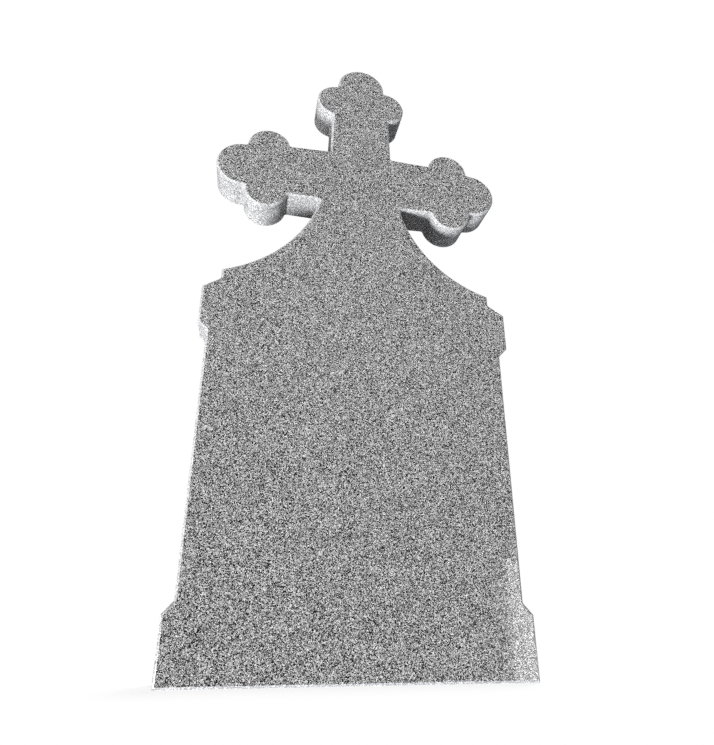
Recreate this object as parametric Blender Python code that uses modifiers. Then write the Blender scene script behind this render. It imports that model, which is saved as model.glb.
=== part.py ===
"""A granite headstone with a trefoil-ended cross: one slab sawn to a single outline.

The slab stands upright. X is its width, Y its thickness with the polished front towards -Y, and Z its height.
The origin is the centre of the underside.
"""

from math import acos, atan2, ceil, cos, hypot, pi, radians, sin, sqrt

import bmesh
import bpy

# Slab
SLAB_WIDTH = 0.600
SLAB_THICKNESS = 0.070
BODY_INSET = 0.017

# Heights, from the underside up to the shoulders
BASE_HEIGHT = 0.100
BASE_SPLAY_RISE = 0.019
BODY_HEIGHT = 0.452
SHOULDER_SPLAY_RISE = 0.017
SHOULDER_BAND_HEIGHT = 0.075

# Top of the shoulders: a slope in and an upright step
SHOULDER_SLOPE_RUN = 0.0325
SHOULDER_SLOPE_RISE = 0.0205
SHOULDER_STEP_HEIGHT = 0.020

# Sweep: the hollow curve from the step up to the neck, under the arms
NECK_WIDTH = 0.172
NECK_HEIGHT = 0.190
SWEEP_HOLLOW = 0.0347

# Cross: bars that narrow a little from the crossing outwards, measured from its centre
BAR_WIDTH = 0.139
BAR_TAPER = 0.033
ARM_REACH = 0.303
HEAD_REACH = 0.320

# Trefoil ends: two side foils and an end foil
SIDE_FOIL_RADIUS = 0.0442
SIDE_FOIL_OFFSET = 0.0556
END_FOIL_RADIUS = 0.053
FOIL_PITCH = 0.0514

# Arrises taken off the edges of the two faces
FRONT_ARRIS = 0.004
BACK_ARRIS = 0.002

# Fineness of the model
CHORD_ERROR = 0.00015
WELD_DISTANCE = 0.00001
SMOOTH_ANGLE = radians(25)

# Finish
GRANITE_COLOUR = (0.31, 0.31, 0.32, 1.0)
GRANITE_ROUGHNESS = 0.18


def arc_points(centre, radius, start_angle, turn):
    """Points along an arc, both ends included, with chords that stay within CHORD_ERROR of it."""
    widest_step = 2 * acos(1 - CHORD_ERROR / radius)
    steps = max(2, ceil(abs(turn) / widest_step))
    angles = [start_angle + turn * i / steps for i in range(steps + 1)]
    return [(centre[0] + radius * cos(a), centre[1] + radius * sin(a)) for a in angles]


def angle_from(centre, point):
    """The direction in which point lies from centre."""
    return atan2(point[1] - centre[1], point[0] - centre[0])


def hollow_arc(start, end, hollow):
    """An arc from start to end that bows out by hollow to the left of the straight way between them."""
    run, rise = end[0] - start[0], end[1] - start[1]
    chord = hypot(run, rise)
    radius = (chord**2 / 4 + hollow**2) / (2 * hollow)
    shift = (radius - hollow) / chord
    centre = ((start[0] + end[0]) / 2 + shift * rise, (start[1] + end[1]) / 2 - shift * run)
    first, last = angle_from(centre, start), angle_from(centre, end)
    return arc_points(centre, radius, first, (last - first + pi) % (2 * pi) - pi)


def half_bar(distance):
    """Half the width of a bar of the cross, at a distance from the crossing's centre."""
    return BAR_WIDTH / 2 - BAR_TAPER * distance


def bar_meets_foil(centre):
    """The point where a bar's lower edge runs into the lower side foil at centre."""
    gap = half_bar(centre[0]) + centre[1]
    slant = 1 + BAR_TAPER**2
    back = (sqrt(slant * SIDE_FOIL_RADIUS**2 - gap**2) - gap * BAR_TAPER) / slant
    along = centre[0] - back
    return along, -half_bar(along)


def foils_meet(side, end):
    """The valley between the lower side foil at side and the end foil at end."""
    run, rise = end[0] - side[0], end[1] - side[1]
    apart = hypot(run, rise)
    ahead = (apart**2 + SIDE_FOIL_RADIUS**2 - END_FOIL_RADIUS**2) / (2 * apart)
    aside = sqrt(SIDE_FOIL_RADIUS**2 - ahead**2)
    return side[0] + (ahead * run + aside * rise) / apart, side[1] + (ahead * rise - aside * run) / apart


def trefoil(reach):
    """The outline of one end of the cross, from the lower edge of its bar round to the upper one.

    The points are (along the bar, across it), from the crossing's centre, and reach is how far the tip lies.
    """
    end = (reach - END_FOIL_RADIUS, 0.0)
    side = (end[0] - FOIL_PITCH, -SIDE_FOIL_OFFSET)
    valley = foils_meet(side, end)
    first = angle_from(side, bar_meets_foil(side))
    lower = arc_points(side, SIDE_FOIL_RADIUS, first, (angle_from(side, valley) - first) % (2 * pi))
    tip = arc_points(end, END_FOIL_RADIUS, angle_from(end, valley), -2 * angle_from(end, valley))
    upper = [(along, -across) for along, across in reversed(lower)]
    return lower + tip[1:-1] + upper


def slab_outline():
    """The headstone's outline as (x, z) points, anticlockwise from the right end of the underside."""
    full = SLAB_WIDTH / 2
    body = full - BODY_INSET
    base_top = BASE_HEIGHT
    body_bottom = base_top + BASE_SPLAY_RISE
    body_top = body_bottom + BODY_HEIGHT
    band_bottom = body_top + SHOULDER_SPLAY_RISE
    band_top = band_bottom + SHOULDER_BAND_HEIGHT
    step_side = full - SHOULDER_SLOPE_RUN
    step_bottom = band_top + SHOULDER_SLOPE_RISE
    step_top = step_bottom + SHOULDER_STEP_HEIGHT

    neck = (NECK_WIDTH / 2, step_top + NECK_HEIGHT)
    crossing = neck[1] + half_bar(neck[0])
    corner = BAR_WIDTH / 2 / (1 + BAR_TAPER)

    side = [
        (full, 0.0),
        (full, base_top),
        (body, body_bottom),
        (body, body_top),
        (full, band_bottom),
        (full, band_top),
        (step_side, step_bottom),
        *hollow_arc((step_side, step_top), neck, SWEEP_HOLLOW),
        *((along, crossing + across) for along, across in trefoil(ARM_REACH)),
        (corner, crossing + corner),
    ]
    head = [(-across, crossing + along) for along, across in trefoil(HEAD_REACH)]
    return side + head + [(-x, z) for x, z in reversed(side)]


def granite():
    """Polished light grey granite."""
    material = bpy.data.materials.new("granite")
    material.use_nodes = True
    shader = material.node_tree.nodes["Principled BSDF"]
    shader.inputs["Base Color"].default_value = GRANITE_COLOUR
    shader.inputs["Roughness"].default_value = GRANITE_ROUGHNESS
    shader.inputs["Metallic"].default_value = 0.0
    return material


def sawn_slab(outline, collection):
    """A mesh object of the outline through the slab's thickness, lying in its own XY plane, front face up."""
    curve = bpy.data.curves.new("slab_outline", "CURVE")
    curve.dimensions = "2D"
    curve.fill_mode = "BOTH"
    curve.extrude = SLAB_THICKNESS / 2
    spline = curve.splines.new("POLY")
    spline.points.add(len(outline) - 1)
    for point, (x, z) in zip(spline.points, outline):
        point.co = (x, z, 0.0, 1.0)
    spline.use_cyclic_u = True
    guide = bpy.data.objects.new("slab_outline", curve)
    collection.objects.link(guide)

    evaluated = guide.evaluated_get(bpy.context.evaluated_depsgraph_get())
    mesh = bpy.data.meshes.new_from_object(evaluated)
    mesh.name = "headstone"
    bpy.data.objects.remove(guide)
    slab = bpy.data.objects.new("headstone", mesh)
    collection.objects.link(slab)
    return slab


def mark_arrises(mesh):
    """Weld the slab, make each face one polygon, and give the edges of both faces their bevel weights."""
    shape = bmesh.new()
    shape.from_mesh(mesh)
    bmesh.ops.remove_doubles(shape, verts=shape.verts, dist=WELD_DISTANCE)
    for side in (1, -1):
        flat = [face for face in shape.faces if face.normal.z * side > 0.5]
        bmesh.ops.dissolve_faces(shape, faces=flat)
    weight = shape.edges.layers.float.new("bevel_weight_edge")
    for edge in shape.edges:
        heights = [vert.co.z for vert in edge.verts]
        if min(heights) > 0:
            edge[weight] = 1.0
        elif max(heights) < 0:
            edge[weight] = BACK_ARRIS / FRONT_ARRIS
    shape.to_mesh(mesh)
    shape.free()


def main():
    """Clear the scene and model the headstone in a collection of its own."""
    for old in list(bpy.data.objects):
        bpy.data.objects.remove(old)
    collection = bpy.data.collections.new("headstone")
    bpy.context.scene.collection.children.link(collection)

    slab = sawn_slab(slab_outline(), collection)
    mark_arrises(slab.data)
    bevel = slab.modifiers.new("arrises", "BEVEL")
    bevel.limit_method = "WEIGHT"
    bevel.width = FRONT_ARRIS
    bevel.segments = 1
    slab.rotation_euler = (radians(90), 0.0, 0.0)
    slab.data.shade_smooth()
    slab.data.set_sharp_from_angle(angle=SMOOTH_ANGLE)
    slab.data.materials.clear()
    slab.data.materials.append(granite())


main()
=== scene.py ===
"""Looks of the granite headstone: polished face, rubbed arrises and honed sides, in a pale studio."""

import logging
from collections.abc import Iterator
from dataclasses import dataclass, field
from enum import Enum
from math import acos, atan2, ceil, cos, pi, radians, sin, sqrt, tan

import bmesh
import bpy
from mathutils import Matrix, Vector


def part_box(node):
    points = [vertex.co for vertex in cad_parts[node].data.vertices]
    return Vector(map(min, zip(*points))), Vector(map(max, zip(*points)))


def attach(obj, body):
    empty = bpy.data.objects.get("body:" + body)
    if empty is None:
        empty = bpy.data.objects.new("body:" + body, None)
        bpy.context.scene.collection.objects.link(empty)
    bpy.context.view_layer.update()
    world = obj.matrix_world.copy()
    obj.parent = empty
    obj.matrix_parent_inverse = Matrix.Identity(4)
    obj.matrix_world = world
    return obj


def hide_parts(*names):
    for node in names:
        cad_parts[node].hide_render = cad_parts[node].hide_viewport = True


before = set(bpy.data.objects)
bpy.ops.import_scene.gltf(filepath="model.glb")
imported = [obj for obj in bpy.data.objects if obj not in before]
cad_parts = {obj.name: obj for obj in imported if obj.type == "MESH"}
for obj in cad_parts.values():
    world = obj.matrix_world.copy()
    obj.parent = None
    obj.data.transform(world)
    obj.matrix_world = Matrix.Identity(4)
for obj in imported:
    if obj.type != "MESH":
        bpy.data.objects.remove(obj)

LOG = logging.getLogger("headstone")
NODE = "headstone"
BODY = "root"
MM = 0.001

# Colours of the light
WHITE = (1.0, 1.0, 1.0)
DAYLIGHT = (0.988, 1.0, 1.012)
COOL = (0.93, 0.99, 1.05)

# The power at which an area lamp's cloth has a brightness of 1, in watts for each square metre
LAMP_POWER = 4.0

# The pitch of the wave texture's lines at a scale of 1, in metres
WAVE_PITCH = pi / 10


class Finish(Enum):
    """How a surface of the stone is worked; the value is its place in the mesh's material list."""

    FACE = 0
    EDGE = 1
    ARRIS = 2
    BACK = 3
    SAWN = 4


class Graph:
    """A material's or world's nodes, with short ways to add and join them."""

    def __init__(self, owner: bpy.types.ID) -> None:
        """Starts with an empty node tree.

        Args:
            owner: the material or world.
        """
        owner.use_nodes = True
        self.tree = owner.node_tree
        self.tree.nodes.clear()

    def add(
        self, kind: str, inputs: dict[str | int, object] | None = None, **settings: object
    ) -> bpy.types.Node:
        """Adds a node.

        Args:
            kind: the node's type, without the ShaderNode in front.
            inputs: values or source sockets for its inputs, by name or number.
            settings: the node's own settings.

        Returns:
            The new node.
        """
        node = self.tree.nodes.new("ShaderNode" + kind)
        for name, value in settings.items():
            setattr(node, name, value)
        for name, value in (inputs or {}).items():
            if isinstance(value, bpy.types.NodeSocket):
                self.tree.links.new(value, node.inputs[name])
            else:
                node.inputs[name].default_value = value
        return node

    def math(self, operation: str, *terms: float | bpy.types.NodeSocket) -> bpy.types.NodeSocket:
        """The result of a sum on one to three numbers or sockets."""
        return self.add("Math", dict(enumerate(terms)), operation=operation).outputs[0]

    def vector(self, operation: str, *terms: object) -> bpy.types.NodeSocket:
        """The result of a sum on vectors.

        Args:
            operation: the sum's name.
            terms: one or two vectors, or a vector and a factor where it is scaled.

        Returns:
            The result's socket, which is a number where the sum is a length.
        """
        names = (0, "Scale") if operation == "SCALE" else (0, 1)
        node = self.add("VectorMath", dict(zip(names, terms)), operation=operation)
        return node.outputs["Value" if operation == "LENGTH" else "Vector"]

    def mixed_number(self, share: object, first: object, second: object) -> bpy.types.NodeSocket:
        """A number between two, as near the second as the share says."""
        return self.add("Mix", {0: share, 2: first, 3: second}, data_type="FLOAT").outputs[0]

    def mixed_colour(self, share: object, first: object, second: object) -> bpy.types.NodeSocket:
        """A colour between two, as near the second as the share says."""
        return self.add("Mix", {0: share, 6: first, 7: second}, data_type="RGBA").outputs[2]

    def ramp(
        self,
        value: bpy.types.NodeSocket,
        span: tuple[float, float],
        results: tuple[float, float],
    ) -> bpy.types.NodeSocket:
        """Runs from one result to the other while a value crosses a span, and no further.

        Args:
            value: the value's socket.
            span: where the crossing starts and ends.
            results: the first and the last result.

        Returns:
            The result's socket.
        """
        inputs = {"Value": value, 1: span[0], 2: span[1], 3: results[0], 4: results[1]}
        return self.add("MapRange", inputs).outputs[0]


@dataclass(frozen=True)
class Mineral:
    """A mineral of the granite, with the share of grains it takes.

    Warmth turns its grey towards cream, and the stone's own blueness turns it a little the other way.
    """

    share: float
    grey: float
    warmth: float = 0.0
    blueness: float = 0.012

    def colour(self) -> tuple[float, float, float, float]:
        """The grain's colour, linear."""
        blue = self.grey * (1 + self.blueness - self.warmth)
        return (self.grey * (1 + self.warmth), self.grey, blue, 1.0)


@dataclass(frozen=True)
class Dressing:
    """What a way of working does to the stone's surface.

    The veil is the pale bloom that an unpolished surface lays over its grains.
    """

    name: str
    roughness: float
    mica_roughness: float
    veil: float
    relief: float
    saw_marks: float = 0.0


DRESSINGS: dict[Finish, Dressing] = {
    Finish.FACE: Dressing("polished_face", roughness=0.05, mica_roughness=0.14, veil=0.0, relief=0.01),
    Finish.EDGE: Dressing("honed_edge", roughness=0.28, mica_roughness=0.34, veil=0.29, relief=0.04),
    Finish.ARRIS: Dressing("rubbed_arris", roughness=0.34, mica_roughness=0.40, veil=0.42, relief=0.05),
    Finish.BACK: Dressing(
        "honed_back", roughness=0.42, mica_roughness=0.50, veil=0.22, relief=0.10, saw_marks=0.10
    ),
    Finish.SAWN: Dressing(
        "sawn_foot", roughness=0.62, mica_roughness=0.68, veil=0.40, relief=0.20, saw_marks=0.35
    ),
}


@dataclass(frozen=True)
class Granite:
    """Fine-grained light grey granite: pale feldspar and grey quartz with black mica.

    The spread is how far apart the shades of one mineral's grains lie, and the raggedness how far their
    edges are torn, as a share of the tears' own size.
    """

    minerals: tuple[Mineral, ...] = (
        Mineral(share=0.25, grey=0.012),
        Mineral(share=0.10, grey=0.070, warmth=0.01),
        Mineral(share=0.10, grey=0.22, warmth=-0.004),
        Mineral(share=0.30, grey=0.48, warmth=0.004),
        Mineral(share=0.25, grey=0.76, warmth=0.008),
    )
    grain: float = 1.35 * MM
    grain_spread: float = 0.6
    fleck: float = 0.9 * MM
    fleck_share: float = 0.19
    fleck_grey: float = 0.02
    ragged: float = 0.72 * MM
    ragged_detail: float = 1.0
    raggedness: float = 1.6
    cloud: float = 90.0 * MM
    cloud_detail: float = 3.0
    cloud_depth: float = 0.05
    bloom: tuple[float, float, float, float] = (0.57, 0.57, 0.58, 1.0)
    refraction: float = 1.52
    grit: float = 0.7 * MM
    grit_detail: float = 3.0
    relief_depth: float = 0.3 * MM
    saw_pitch: float = 5.0265 * MM
    saw_wander: float = 1.5
    saw_detail: float = 2.0

    def speckle(self, graph: Graph) -> tuple[bpy.types.NodeSocket, bpy.types.NodeSocket]:
        """Draws the grains.

        Args:
            graph: the material's nodes.

        Returns:
            The grains' colour, and 1 where a grain is mica, else 0.
        """
        where = graph.add("TexCoord").outputs["Object"]

        # Ragged edges, for the grains and the flecks alike
        noise = {"Vector": where, "Scale": 1 / self.ragged, "Detail": self.ragged_detail}
        rag = graph.add("TexNoise", noise).outputs["Color"]
        centred = graph.vector("SUBTRACT", rag, (0.5, 0.5, 0.5))
        torn = graph.vector("ADD", where, graph.vector("SCALE", centred, self.ragged * self.raggedness))

        # Grains of the minerals, each with a shade of its own
        grains = graph.add("TexVoronoi", {"Vector": torn, "Scale": 1 / self.grain}).outputs["Color"]
        kind, shade, _ = graph.add("SeparateColor", {0: grains}).outputs
        ramp = graph.add("ValToRGB", {0: kind})
        self.fill_ramp(ramp.color_ramp)
        tone = graph.math("MULTIPLY_ADD", shade, self.grain_spread, 1 - self.grain_spread / 2)
        toned = graph.vector("SCALE", ramp.outputs[0], tone)

        # Fine dark flecks over them
        flecks = graph.add("TexVoronoi", {"Vector": torn, "Scale": 1 / self.fleck}).outputs["Color"]
        odds = graph.add("SeparateColor", {0: flecks}).outputs[2]
        is_fleck = graph.math("LESS_THAN", odds, self.fleck_share)
        fleck = (self.fleck_grey, self.fleck_grey, self.fleck_grey, 1.0)
        flecked = graph.mixed_colour(is_fleck, toned, fleck)

        # A faint cloudiness through the whole stone
        drifts = {"Vector": where, "Scale": 1 / self.cloud, "Detail": self.cloud_detail}
        cloud = graph.add("TexNoise", drifts).outputs[0]
        drift = graph.math("MULTIPLY_ADD", cloud, self.cloud_depth, 1 - self.cloud_depth / 2)
        colour = graph.vector("SCALE", flecked, drift)

        # The first mineral is the mica, and the flecks are mica too
        is_mica = graph.math("LESS_THAN", kind, self.minerals[0].share)
        return colour, graph.math("MAXIMUM", is_fleck, is_mica)

    def fill_ramp(self, ramp: bpy.types.ColorRamp) -> None:
        """Gives each mineral its share of a ramp.

        Args:
            ramp: the colour ramp, which has its first two stops.
        """
        ramp.interpolation = "CONSTANT"
        edge = 0.0
        for i, mineral in enumerate(self.minerals):
            stop = ramp.elements[i] if i < len(ramp.elements) else ramp.elements.new(edge)
            stop.position = edge
            stop.color = mineral.colour()
            edge += mineral.share

    def relief(
        self, graph: Graph, mica: bpy.types.NodeSocket, dressing: Dressing
    ) -> bpy.types.NodeSocket:
        """The surface's small heights: fine grit, mica plucked lower than the rest, and the saw's lines.

        Args:
            graph: the material's nodes.
            mica: 1 where there is mica, else 0.
            dressing: how the surface is worked.

        Returns:
            The height as a socket.
        """
        where = graph.add("TexCoord").outputs["Object"]
        noise = {"Vector": where, "Scale": 1 / self.grit, "Detail": self.grit_detail}
        height = graph.math("SUBTRACT", graph.add("TexNoise", noise).outputs[0], mica)
        if dressing.saw_marks:
            wave = {"Vector": where, "Scale": WAVE_PITCH / self.saw_pitch}
            wave |= {"Distortion": self.saw_wander, "Detail": self.saw_detail}
            lines = graph.add("TexWave", wave, bands_direction="Z").outputs[1]
            height = graph.math("MULTIPLY_ADD", lines, dressing.saw_marks, height)
        return height

    def worked(self, finish: Finish) -> bpy.types.Material:
        """The stone as one finish shows it.

        Args:
            finish: how the surface is worked.

        Returns:
            The material.
        """
        dressing = DRESSINGS[finish]
        material = bpy.data.materials.new(dressing.name)
        graph = Graph(material)
        colour, mica = self.speckle(graph)
        if dressing.veil:
            colour = graph.mixed_colour(dressing.veil, colour, self.bloom)
        duller = dressing.mica_roughness - dressing.roughness
        rough = graph.math("MULTIPLY_ADD", mica, duller, dressing.roughness)
        height = self.relief(graph, mica, dressing)
        depths = {"Strength": dressing.relief, "Distance": self.relief_depth, "Height": height}
        normal = graph.add("Bump", depths).outputs[0]
        surface = {"Base Color": colour, "Roughness": rough, "Normal": normal, "IOR": self.refraction}
        shader = graph.add("BsdfPrincipled", surface)
        graph.add("OutputMaterial", {"Surface": shader.outputs[0]})
        return material


def heading(centre: Vector, point: Vector) -> float:
    """The angle at which a point lies from a centre, in radians."""
    return atan2(point.y - centre.y, point.x - centre.x)


def arc(centre: Vector, radius: float, start: float, turn: float, chord: float) -> list[Vector]:
    """Points along an arc, both ends included.

    Args:
        centre: the arc's centre.
        radius: its radius, in metres.
        start: the angle of its first point, in radians.
        turn: how far it goes round, in radians, anticlockwise if positive.
        chord: the greatest gap between the arc and its chords, in metres.

    Returns:
        The points in order.
    """
    steps = max(2, ceil(abs(turn) / (2 * acos(1 - chord / radius))))
    angles = [start + turn * i / steps for i in range(steps + 1)]
    return [centre + Vector((cos(a), sin(a))) * radius for a in angles]


def hollow(start: Vector, end: Vector, depth: float, chord: float) -> list[Vector]:
    """An arc that bows out to the left of the straight way between its ends.

    Args:
        start: its first point.
        end: its last point.
        depth: how far its middle lies from the straight way, in metres.
        chord: the greatest gap between the arc and its chords, in metres.

    Returns:
        The points in order.
    """
    way = end - start
    radius = (way.length_squared / 4 + depth**2) / (2 * depth)
    centre = (start + end) / 2 + Vector((way.y, -way.x)) * ((radius - depth) / way.length)
    first, last = heading(centre, start), heading(centre, end)
    return arc(centre, radius, first, (last - first + pi) % (2 * pi) - pi, chord)


@dataclass
class Bar:
    """A bar of the cross, which narrows a little from the middle of the crossing outwards."""

    width: float = 0.139
    taper: float = 0.033

    def half(self, along: float) -> float:
        """Half the bar's width at a distance along it, in metres."""
        return self.width / 2 - self.taper * along

    def meets(self, foil: Vector, radius: float) -> Vector:
        """The point where the bar's lower edge runs into a side foil.

        Args:
            foil: centre of the side foil.
            radius: the foil's radius, in metres.

        Returns:
            The meeting point on the side of the crossing.
        """
        gap = self.half(foil.x) + foil.y
        slant = 1 + self.taper**2
        along = foil.x - (sqrt(slant * radius**2 - gap**2) - gap * self.taper) / slant
        return Vector((along, -self.half(along)))

    def corner(self) -> float:
        """How far the corners between two bars lie from the middle of the crossing, each way."""
        return self.width / 2 / (1 + self.taper)


@dataclass
class Trefoil:
    """One end of the cross: two side foils and an end foil."""

    side_radius: float = 0.0442
    side_offset: float = 0.0556
    end_radius: float = 0.053
    pitch: float = 0.0514

    def valley(self, side: Vector, end: Vector) -> Vector:
        """The point where two foils meet.

        Args:
            side: centre of the side foil below the bar's line.
            end: centre of the end foil.

        Returns:
            The meeting point on the outside of the trefoil.
        """
        way = end - side
        apart = way.length
        ahead = (apart**2 + self.side_radius**2 - self.end_radius**2) / (2 * apart)
        aside = sqrt(self.side_radius**2 - ahead**2)
        return side + (way * ahead + Vector((way.y, -way.x)) * aside) / apart

    def outline(self, reach: float, bar: Bar, chord: float) -> list[Vector]:
        """The end's outline, from the lower edge of its bar round to the upper one.

        Args:
            reach: how far the tip lies from the middle of the crossing, in metres.
            bar: the bar that the trefoil ends.
            chord: the greatest gap between an arc and its chords, in metres.

        Returns:
            Points as (along the bar, across it), from the middle of the crossing.
        """
        end = Vector((reach - self.end_radius, 0.0))
        side = Vector((end.x - self.pitch, -self.side_offset))
        valley = self.valley(side, end)
        first = heading(side, bar.meets(side, self.side_radius))
        lower = arc(side, self.side_radius, first, (heading(side, valley) - first) % (2 * pi), chord)
        tip = arc(end, self.end_radius, heading(end, valley), -2 * heading(end, valley), chord)
        upper = [Vector((point.x, -point.y)) for point in reversed(lower)]
        return lower + tip[1:-1] + upper


@dataclass(frozen=True)
class Corner:
    """A point of the slab's outline, seen from the front, and the way it goes when the outline shrinks.

    The lean is the way along the mitre into the stone. A rounded corner has several of these points,
    each with its own ray, and its radius is less than zero where it turns inwards, as in a valley.
    """

    mitre: Vector
    lean: Vector
    radius: float = 0.0
    ray: Vector = field(default_factory=lambda: Vector((0.0, 0.0)))

    def inset(self, depth: float) -> Vector:
        """Where the point lies when the outline is taken in.

        Args:
            depth: how far every edge moves into the stone, in metres.

        Returns:
            The point's place in the outline's plane. The points of an outward corner run together into
            its mitre once the outline is in by more than the corner's radius.
        """
        if 0 <= self.radius <= depth:
            return self.mitre + self.lean * depth
        return self.mitre + self.lean * self.radius + self.ray * (self.radius - depth)


@dataclass
class Slab:
    """The headstone: one slab sawn to a single outline, with its arrises off and its front polished.

    Heights and widths are in metres, from the underside and from the middle.
    """

    name: str = "polished_headstone"
    width: float = 0.600
    thickness: float = 0.070
    front: float = -0.035
    body_inset: float = 0.017
    base_height: float = 0.100
    base_splay_rise: float = 0.019
    body_height: float = 0.452
    shoulder_splay_rise: float = 0.017
    shoulder_band_height: float = 0.075
    shoulder_slope_run: float = 0.0325
    shoulder_slope_rise: float = 0.0205
    shoulder_step_height: float = 0.020
    neck_width: float = 0.172
    neck_height: float = 0.190
    sweep_hollow: float = 0.0347
    arm_reach: float = 0.303
    head_reach: float = 0.320
    bar: Bar = field(default_factory=Bar)
    trefoil: Trefoil = field(default_factory=Trefoil)

    front_arris: float = 4.0 * MM
    back_arris: float = 2.0 * MM
    front_round: float = 0.6 * MM
    back_round: float = 0.4 * MM
    round_steps: int = 2
    outer_radius: float = 0.9 * MM
    inner_radius: float = 5.0 * MM
    corner_steps: int = 8
    corner_from: float = radians(18)
    chord: float = 0.02 * MM
    weld: float = 0.001 * MM
    sharp_angle: float = radians(32)
    flat_face_weight: int = 100

    @classmethod
    def within(cls, box: tuple[Vector, Vector]) -> "Slab":
        """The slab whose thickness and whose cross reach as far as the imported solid's box.

        Args:
            box: the solid's lowest and highest corners.

        Returns:
            The slab, standing on the box's floor and with its front on the box's front.
        """
        low, high = box
        slab = cls(thickness=high.y - low.y, front=low.y, arm_reach=high.x)
        slab.head_reach = high.z - slab.crossing().y
        return slab

    def neck(self) -> Vector:
        """The point where the sweep ends and the right arm begins.

        Returns:
            The point as (x, z).
        """
        rises = (
            self.base_height,
            self.base_splay_rise,
            self.body_height,
            self.shoulder_splay_rise,
            self.shoulder_band_height,
            self.shoulder_slope_rise,
            self.shoulder_step_height,
            self.neck_height,
        )
        return Vector((self.neck_width / 2, sum(rises)))

    def crossing(self) -> Vector:
        """The middle of the cross."""
        neck = self.neck()
        return Vector((0.0, neck.y + self.bar.half(neck.x)))

    def right_side(self) -> list[Vector]:
        """The outline's right half, from the underside up to the corner between arm and head.

        Returns:
            The points as (x, z), in order.
        """
        full = self.width / 2
        body = full - self.body_inset
        body_bottom = self.base_height + self.base_splay_rise
        body_top = body_bottom + self.body_height
        band_bottom = body_top + self.shoulder_splay_rise
        band_top = band_bottom + self.shoulder_band_height
        step = full - self.shoulder_slope_run
        step_bottom = band_top + self.shoulder_slope_rise
        step_top = step_bottom + self.shoulder_step_height
        crossing = self.crossing()
        arm = self.trefoil.outline(self.arm_reach, self.bar, self.chord)
        corner = self.bar.corner()
        return [
            Vector((full, 0.0)),
            Vector((full, self.base_height)),
            Vector((body, body_bottom)),
            Vector((body, body_top)),
            Vector((full, band_bottom)),
            Vector((full, band_top)),
            Vector((step, step_bottom)),
            *hollow(Vector((step, step_top)), self.neck(), self.sweep_hollow, self.chord),
            *(crossing + point for point in arm),
            crossing + Vector((corner, corner)),
        ]

    def outline(self) -> list[Vector]:
        """The whole outline.

        Returns:
            The points as (x, z), anticlockwise seen from the front.
        """
        side = self.right_side()
        end = self.trefoil.outline(self.head_reach, self.bar, self.chord)
        head = [self.crossing() + Vector((-point.y, point.x)) for point in end]
        return side + head + [Vector((-point.x, point.y)) for point in reversed(side)]

    def bends(self, points: list[Vector]) -> Iterator[tuple[Vector, Vector, Vector, float]]:
        """How a closed outline bends at each of its points.

        Args:
            points: the outline, anticlockwise.

        Yields:
            The point, the inward normals of the edges before and after it, and the turn between them.
        """
        for before, here, after in zip(points[-1:] + points[:-1], points, points[1:] + points[:1]):
            arriving, leaving = (here - before).normalized(), (after - here).normalized()
            turn = atan2(arriving.x * leaving.y - arriving.y * leaving.x, arriving.dot(leaving))
            yield here, Vector((-arriving.y, arriving.x)), Vector((-leaving.y, leaving.x)), turn

    def radius_at(self, turn: float) -> float:
        """The radius of a corner.

        Args:
            turn: how far the outline turns there, in radians, to the left if positive.

        Returns:
            The radius in metres, 0 on a curve, and less than 0 where the corner turns inwards.
        """
        if abs(turn) < self.corner_from:
            return 0.0
        return self.outer_radius if turn > 0 else -self.inner_radius

    def corners(self) -> list[Corner]:
        """The outline's points with the way each goes inwards, and with its corners rounded.

        Returns:
            The points in order, anticlockwise seen from the front.
        """
        bends = list(self.bends(self.outline()))
        reaches = [(place, abs(self.radius_at(turn) * tan(turn / 2))) for place, _, _, turn in bends]
        rounded = [(place, reach) for place, reach in reaches if reach]
        corners: list[Corner] = []
        for place, first, last, turn in bends:
            lean = (first + last) / (1 + first.dot(last))
            radius = self.radius_at(turn)
            if radius:
                start = atan2(-first.y, -first.x)
                for step in range(self.corner_steps + 1):
                    angle = start + turn * step / self.corner_steps
                    corners.append(Corner(place, lean, radius, Vector((cos(angle), sin(angle)))))
            # A curve's points give way to a rounded corner as far as its rounding reaches
            elif all((place - corner).length > reach for corner, reach in rounded):
                corners.append(Corner(place, lean))
        return corners

    def rounded_arris(self, arris: float, radius: float) -> list[tuple[float, float]]:
        """The section of an arris, a flat at 45 degrees whose two edges are a little rounded.

        Args:
            arris: how far the flat goes into the face and into the edge, in metres.
            radius: the radius of the rounding, in metres.

        Returns:
            Points as (in from the edge, back from the face), from the face outwards.
        """
        turn = pi / 4
        start = arris + radius * tan(turn / 2)
        bends = [turn * step / self.round_steps for step in range(self.round_steps + 1)]
        face = [(start - radius * sin(bend), radius * (1 - cos(bend))) for bend in bends]
        edge = [(back, inward) for inward, back in reversed(face)]
        return face + edge

    def rows(self) -> list[tuple[float, float, Finish]]:
        """The slab's section through its thickness.

        Returns:
            Rows from front to back, as (in from the edge, depth from the front face, finish of the band
            that follows).
        """
        front = self.rounded_arris(self.front_arris, self.front_round)
        back = self.rounded_arris(self.back_arris, self.back_round)
        rows = [(inward, depth, Finish.ARRIS) for inward, depth in front]
        rows[-1] = (*front[-1], Finish.EDGE)
        rows += [(inward, self.thickness - depth, Finish.ARRIS) for inward, depth in reversed(back)]
        return rows

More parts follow.
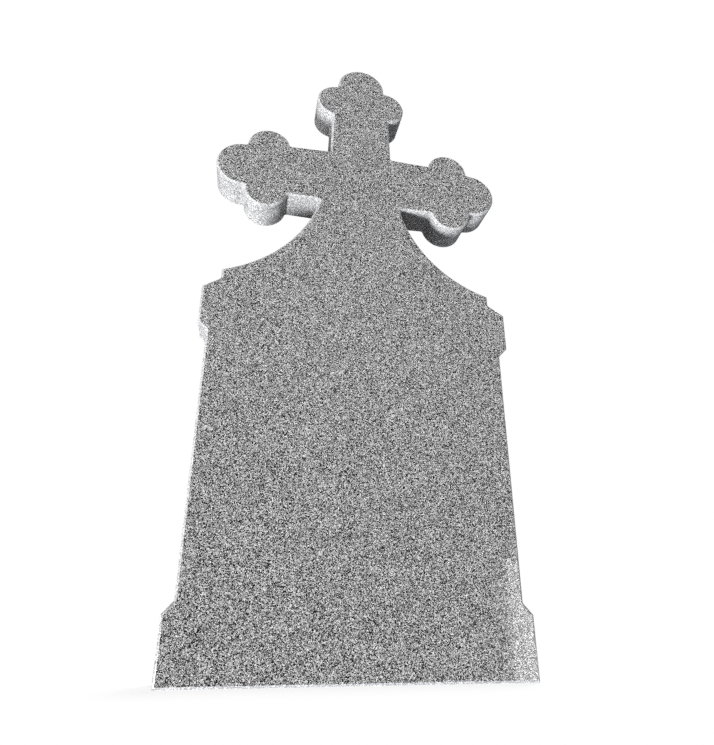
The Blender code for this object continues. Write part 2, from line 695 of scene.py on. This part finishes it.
    def build(self) -> bpy.types.Object:
        """Models the slab.

        Returns:
            The slab as a mesh object, front face towards -Y.
        """
        shape = bmesh.new()
        corners = self.corners()
        rows = self.rows()
        rings = []
        for inward, depth, _ in rows:
            places = [corner.inset(inward) for corner in corners]
            rings.append([shape.verts.new((place.x, self.front + depth, place.y)) for place in places])
        count = len(corners)
        for ring, following, (_, _, finish) in zip(rings, rings[1:], rows):
            for i in range(count):
                j = (i + 1) % count
                quad = shape.faces.new((ring[i], following[i], following[j], ring[j]))
                quad.material_index = finish.value
                quad.smooth = True
        face = shape.faces.new(rings[0])
        face.material_index = Finish.FACE.value
        back = shape.faces.new(reversed(rings[-1]))
        back.material_index = Finish.BACK.value
        face.smooth = back.smooth = True
        bmesh.ops.remove_doubles(shape, verts=shape.verts, dist=self.weld)
        bmesh.ops.recalc_face_normals(shape, faces=shape.faces)
        self.mark_foot(shape)
        mesh = bpy.data.meshes.new(self.name)
        shape.to_mesh(mesh)
        shape.free()
        mesh.set_sharp_from_angle(angle=self.sharp_angle)
        slab = bpy.data.objects.new(self.name, mesh)
        bpy.context.scene.collection.objects.link(slab)
        return slab

    def mark_foot(self, shape: bmesh.types.BMesh) -> None:
        """Gives the underside its sawn finish.

        Args:
            shape: the slab's mesh.
        """
        for side in shape.faces:
            is_edge = side.material_index == Finish.EDGE.value
            if is_edge and side.calc_center_median().z < self.weld:
                side.material_index = Finish.SAWN.value

    def dress(self, slab: bpy.types.Object, granite: Granite) -> None:
        """Gives the slab its materials and even normals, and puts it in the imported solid's stead.

        Args:
            slab: the slab's object.
            granite: the stone that it is sawn from.
        """
        for finish in Finish:
            slab.data.materials.append(granite.worked(finish))
        evened = slab.modifiers.new("flat_faces", "WEIGHTED_NORMAL")
        evened.keep_sharp = True
        evened.weight = self.flat_face_weight
        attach(slab, BODY)
        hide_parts(NODE)


@dataclass(frozen=True)
class Softbox:
    """A soft lamp of the studio, told by where it stands, what it faces and how bright its cloth is."""

    name: str
    place: tuple[float, float, float]
    size: tuple[float, float]
    brightness: float
    colour: tuple[float, float, float] = WHITE
    aim: tuple[float, float, float] = (0.0, 0.0, 0.75)
    lights_stone: bool = True
    seen_in_polish: bool = False

    def hang(self) -> None:
        """Hangs the lamp, which the camera itself doesn't see."""
        lamp = bpy.data.lights.new(self.name, "AREA")
        lamp.shape = "RECTANGLE"
        lamp.size, lamp.size_y = self.size
        lamp.energy = self.brightness * LAMP_POWER * self.size[0] * self.size[1]
        lamp.color = self.colour
        hung = bpy.data.objects.new(self.name, lamp)
        hung.location = self.place
        hung.rotation_mode = "QUATERNION"
        hung.rotation_quaternion = (Vector(self.aim) - Vector(self.place)).to_track_quat("-Z", "Y")
        hung.visible_camera = False
        hung.visible_glossy = self.seen_in_polish
        hung.visible_diffuse = self.lights_stone
        bpy.context.scene.collection.objects.link(hung)


@dataclass(frozen=True)
class Studio:
    """The pale floor, the light and the camera."""

    floor_radius: float = 14.0
    floor_sides: int = 96
    floor_bounce: float = 0.10
    paper_roughness: float = 0.9
    shadow_depth: float = 0.22
    shadow_reach: float = 0.12
    shadow_falloff: float = 2.0
    sky_glow: float = 0.02
    softboxes: tuple[Softbox, ...] = (
        # The key shines up from below the floor, which casts no shadow
        Softbox(
            "key_under_left",
            place=(-6.4, -2.4, -9.2),
            size=(2.2, 2.2),
            brightness=136.0,
            colour=DAYLIGHT,
            seen_in_polish=True,
        ),
        Softbox("left_fill", place=(-7.0, -0.8, 0.9), size=(3.0, 3.0), brightness=9.9),
        Softbox("front_fill", place=(0.5, -6.0, 3.5), size=(3.0, 3.0), brightness=8.4),
        Softbox("right_fill", place=(7.0, 0.2, 0.9), size=(2.4, 2.4), brightness=3.0, colour=COOL),
        Softbox("right_under_fill", place=(4.2, -0.2, -6.5), size=(1.6, 1.6), brightness=13.0, colour=COOL),
        Softbox("back_fill", place=(4.0, 4.4, 5.75), size=(3.4, 3.4), brightness=14.0, colour=DAYLIGHT),
        # Only the card's reflection shows, low on the right of the polished face
        Softbox(
            "pale_card",
            place=(1.348, -1.45, -0.045),
            size=(0.86, 0.65),
            brightness=4.75,
            aim=(1.348, 0.0, -0.045),
            lights_stone=False,
            seen_in_polish=True,
        ),
    )
    camera_place: tuple[float, float, float] = (-0.18471, -0.97863, 0.12598)
    camera_heading: float = radians(10.775)
    camera_tilt: float = radians(21.876)
    camera_roll: float = radians(0.434)
    camera_lens: float = 27.014
    camera_sensor: float = 36.0
    camera_nearest: float = 0.02

    def sky(self) -> None:
        """Puts up the sky: white to the camera, and all but dark to the stone."""
        world = bpy.data.worlds.new("studio_sky")
        bpy.context.scene.world = world
        graph = Graph(world)
        seen = graph.add("LightPath").outputs["Is Camera Ray"]
        glow = graph.mixed_number(seen, self.sky_glow, 1.0)
        shade = graph.add("Background", {"Color": (*WHITE, 1.0), "Strength": glow})
        graph.add("OutputWorld", {"Surface": shade.outputs[0]})

    def floor(self, foot: tuple[float, float]) -> None:
        """Lays the floor, a disc that runs out into the white sky.

        Args:
            foot: the stone's width and thickness on the floor, in metres.
        """
        shape = bmesh.new()
        disc = {"cap_ends": True, "radius": self.floor_radius, "segments": self.floor_sides}
        bmesh.ops.create_circle(shape, **disc)
        mesh = bpy.data.meshes.new("studio_floor")
        shape.to_mesh(mesh)
        shape.free()
        mesh.materials.append(self.floor_paper(foot))
        floor = bpy.data.objects.new("studio_floor", mesh)
        floor.visible_shadow = False
        floor.visible_glossy = False
        bpy.context.scene.collection.objects.link(floor)

    def floor_paper(self, foot: tuple[float, float]) -> bpy.types.Material:
        """The floor's white paper, glowing white to the camera; round the foot the glow fades into plain
        lit paper, a painted shade over which the real shadow also shows.

        Args:
            foot: the stone's width and thickness on the floor, in metres.

        Returns:
            The material.
        """
        paper = bpy.data.materials.new("white_paper")
        graph = Graph(paper)
        seen = graph.add("LightPath").outputs["Is Camera Ray"]
        where = graph.vector("ABSOLUTE", graph.add("TexCoord").outputs["Object"])
        beyond = graph.vector("SUBTRACT", where, (foot[0] / 2, foot[1] / 2, 0.0))
        away = graph.vector("LENGTH", graph.vector("MAXIMUM", beyond, (0.0, 0.0, 0.0)))
        # Painted shade round the foot: within the shadow's reach the glow gives way to plain lit paper,
        # where the real shadow shows too
        near = graph.ramp(away, (0.0, self.shadow_reach), (1.0, 0.0))
        contact_shade = graph.math("MULTIPLY", graph.math("POWER", near, self.shadow_falloff), self.shadow_depth)
        surface = {
            "Base Color": graph.mixed_number(seen, self.floor_bounce, contact_shade),
            "Roughness": self.paper_roughness,
            "Specular IOR Level": 0.0,
            "Emission Color": (*WHITE, 1.0),
            "Emission Strength": graph.math("MULTIPLY", seen, graph.math("SUBTRACT", 1.0, contact_shade)),
        }
        shader = graph.add("BsdfPrincipled", surface)
        graph.add("OutputMaterial", {"Surface": shader.outputs[0]})
        return paper

    def camera(self) -> None:
        """Stands the camera at the photograph's place: low, left of the middle and tilted up."""
        lens = bpy.data.cameras.new("camera")
        lens.sensor_width = self.camera_sensor
        lens.lens = self.camera_lens
        lens.clip_start = self.camera_nearest
        stand = bpy.data.objects.new("camera", lens)
        turn = Matrix.Rotation(-self.camera_heading, 4, "Z")
        tilt = Matrix.Rotation(pi / 2 + self.camera_tilt, 4, "X")
        roll = Matrix.Rotation(self.camera_roll, 4, "Z")
        stand.matrix_world = Matrix.Translation(self.camera_place) @ turn @ tilt @ roll
        bpy.context.scene.collection.objects.link(stand)
        bpy.context.scene.camera = stand

    def set_up(self, slab: Slab) -> None:
        """Builds the studio round the stone, with plain colours and no smoothing of the speckle.

        Args:
            slab: the stone that stands in it.
        """
        self.sky()
        self.floor((slab.width, slab.thickness))
        for softbox in self.softboxes:
            softbox.hang()
        self.camera()
        bpy.context.scene.view_settings.view_transform = "Standard"
        bpy.context.scene.cycles.use_denoising = False


def main() -> None:
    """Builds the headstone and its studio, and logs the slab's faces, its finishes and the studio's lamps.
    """
    logging.basicConfig(level=logging.INFO, format="%(name)s: %(message)s")
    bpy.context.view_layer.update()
    slab = Slab.within(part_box(NODE))
    piece = slab.build()
    LOG.info("%s: %d faces", piece.name, len(piece.data.polygons))
    slab.dress(piece, Granite())
    LOG.info("%s: dressed with %d finishes", piece.name, len(piece.data.materials))
    studio = Studio()
    studio.set_up(slab)
    LOG.info("studio: floor, sky, %d lamps and camera", len(studio.softboxes))


if __name__ == "__main__":
    main()
